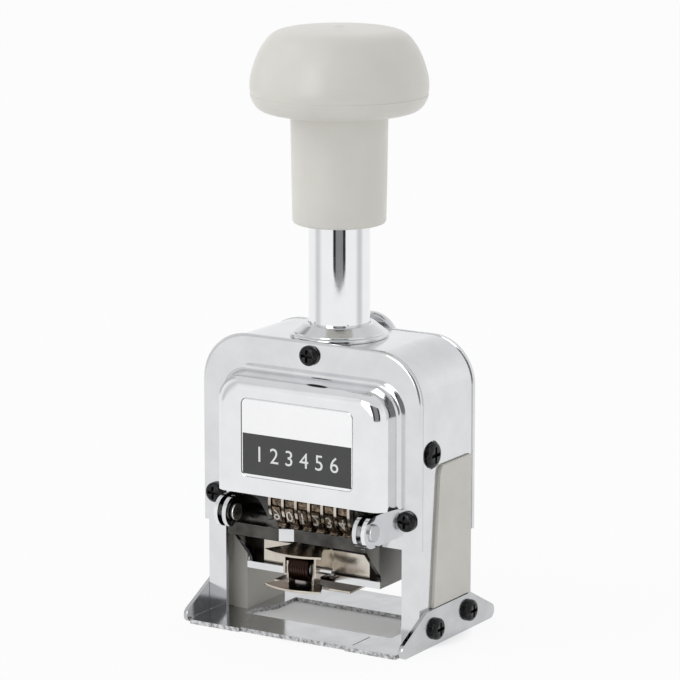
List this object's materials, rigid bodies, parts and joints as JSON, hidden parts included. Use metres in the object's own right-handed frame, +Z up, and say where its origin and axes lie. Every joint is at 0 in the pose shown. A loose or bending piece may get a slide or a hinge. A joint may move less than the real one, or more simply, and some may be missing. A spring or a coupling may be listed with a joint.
{
  "type": "numbering machine",
  "caption": "Hand numbering stamp with a plunger handle, chromed casing, number wheels and a swinging ink tray.",
  "frame": {"origin": "centre of the base plate's underside", "axes": "+Z up along the plunger, +X to the right, +Y to the back"},
  "size_m": [0.0736, 0.0514, 0.1645],
  "materials": {
    "chrome": "polished",
    "cover_chrome": "polished",
    "black_screw": "black zinc, satin",
    "liner_plastic": "satin",
    "handle_plastic": "satin",
    "label": "printed, satin",
    "steel": "bright",
    "dark_steel": "satin",
    "spring_steel": "bright",
    "bronze_bush": "turned",
    "type_metal": "nickelled, worn",
    "nickel": "bright nickel",
    "holder_metal": "bright nickel, dark reflections",
    "pad_felt": "inked felt",
    "washer_rubber": "soft"
  },
  "bodies": {
    "frame": {"base_plate": "chrome", "base_screws": "black_screw", "casing": "chrome", "front_cover": "cover_chrome", "label_plate": "label", "rear_cover": "chrome", "cover_screws": "black_screw", "rear_screws": "black_screw", "left_liner": "liner_plastic", "right_liner": "liner_plastic", "side_screws": "black_screw", "guide_tube": "chrome", "tube_collar": "chrome", "tube_nut": "steel", "rod_bush": "bronze_bush", "tray_pivots": "steel", "feed_cam": "steel", "return_spring": "spring_steel"},
    "carriage": {"handle_body": "handle_plastic", "handle_cap": "handle_plastic", "handle_nut": "steel", "plunger_rod": "steel", "yoke": "steel", "yoke_nut": "steel", "stop_washer": "washer_rubber", "left_cheek": "dark_steel", "right_cheek": "dark_steel", "cheek_screws": "steel", "wheel_axle": "steel", "axle_clips": "dark_steel", "axle_spacer": "bronze_bush", "type_guard": "nickel", "detent_comb": "spring_steel", "pawl_shaft": "steel", "tray_rollers": "steel"},
    "wheel_1": {"number_wheel_1": "type_metal", "ratchet_wheel_1": "nickel"},
    "wheel_2": {"number_wheel_2": "type_metal", "ratchet_wheel_2": "nickel"},
    "wheel_3": {"number_wheel_3": "type_metal", "ratchet_wheel_3": "nickel"},
    "wheel_4": {"number_wheel_4": "type_metal", "ratchet_wheel_4": "nickel"},
    "wheel_5": {"number_wheel_5": "type_metal", "ratchet_wheel_5": "nickel"},
    "wheel_6": {"number_wheel_6": "type_metal", "ratchet_wheel_6": "nickel"},
    "feed": {"pawl_comb": "dark_steel", "feed_lever": "dark_steel"},
    "ink_tray": {"tray_frame": "chrome", "pad_holder": "holder_metal", "ink_pad": "pad_felt", "clip_upper": "nickel", "clip_pin": "steel", "clip_spring": "spring_steel"},
    "clip_jaw": {"clip_lower": "nickel"},
    "selector": {"selector_dial": "chrome", "selector_spindle": "black_screw"}
  },
  "joints": [
    {"name": "plunger_slide", "type": "slide", "parent": "frame", "child": "carriage", "axis": [0, 0, -1], "range_m": [0, 0.0242], "stiffness_N_per_m": 300, "springref_m": -0.025, "deforming": ["return_spring"]},
    {"name": "tray_swing", "type": "hinge", "parent": "frame", "child": "ink_tray", "pos_m": [0, -0.022, 0.033], "axis": [-1, 0, 0], "range_deg": [0, 84]},
    {"name": "pawl_swing", "type": "hinge", "parent": "carriage", "child": "feed", "pos_m": [0, 0.0086, 0.044], "axis": [1, 0, 0], "range_deg": [0, 18]},
    {"name": "wheel_turn_1", "type": "hinge", "parent": "carriage", "child": "wheel_1", "pos_m": [-0.0105, -0.0052, 0.0355], "axis": [1, 0, 0], "continuous": true},
    {"name": "wheel_turn_2", "type": "hinge", "parent": "carriage", "child": "wheel_2", "pos_m": [-0.0063, -0.0052, 0.0355], "axis": [1, 0, 0], "continuous": true},
    {"name": "wheel_turn_3", "type": "hinge", "parent": "carriage", "child": "wheel_3", "pos_m": [-0.0021, -0.0052, 0.0355], "axis": [1, 0, 0], "continuous": true},
    {"name": "wheel_turn_4", "type": "hinge", "parent": "carriage", "child": "wheel_4", "pos_m": [0.0021, -0.0052, 0.0355], "axis": [1, 0, 0], "continuous": true},
    {"name": "wheel_turn_5", "type": "hinge", "parent": "carriage", "child": "wheel_5", "pos_m": [0.0063, -0.0052, 0.0355], "axis": [1, 0, 0], "continuous": true},
    {"name": "wheel_turn_6", "type": "hinge", "parent": "carriage", "child": "wheel_6", "pos_m": [0.0105, -0.0052, 0.0355], "axis": [1, 0, 0], "continuous": true},
    {"name": "clip_squeeze", "type": "hinge", "parent": "ink_tray", "child": "clip_jaw", "pos_m": [0, -0.0185, 0.0193], "axis": [-1, 0, 0], "range_deg": [0, 10], "stiffness_Nm_per_rad": 0.05, "springref_deg": -11.46},
    {"name": "dial_turn", "type": "hinge", "parent": "frame", "child": "selector", "pos_m": [0, 0.0165, 0.075], "axis": [0, 1, 0], "range_deg": [-150, 150]}
  ],
  "couplings": [
    {"joint": "tray_swing", "follows": "plunger_slide", "rad_per_m": 60.58},
    {"joint": "pawl_swing", "follows": "plunger_slide", "rad_per_m": 12.981}
  ]
}
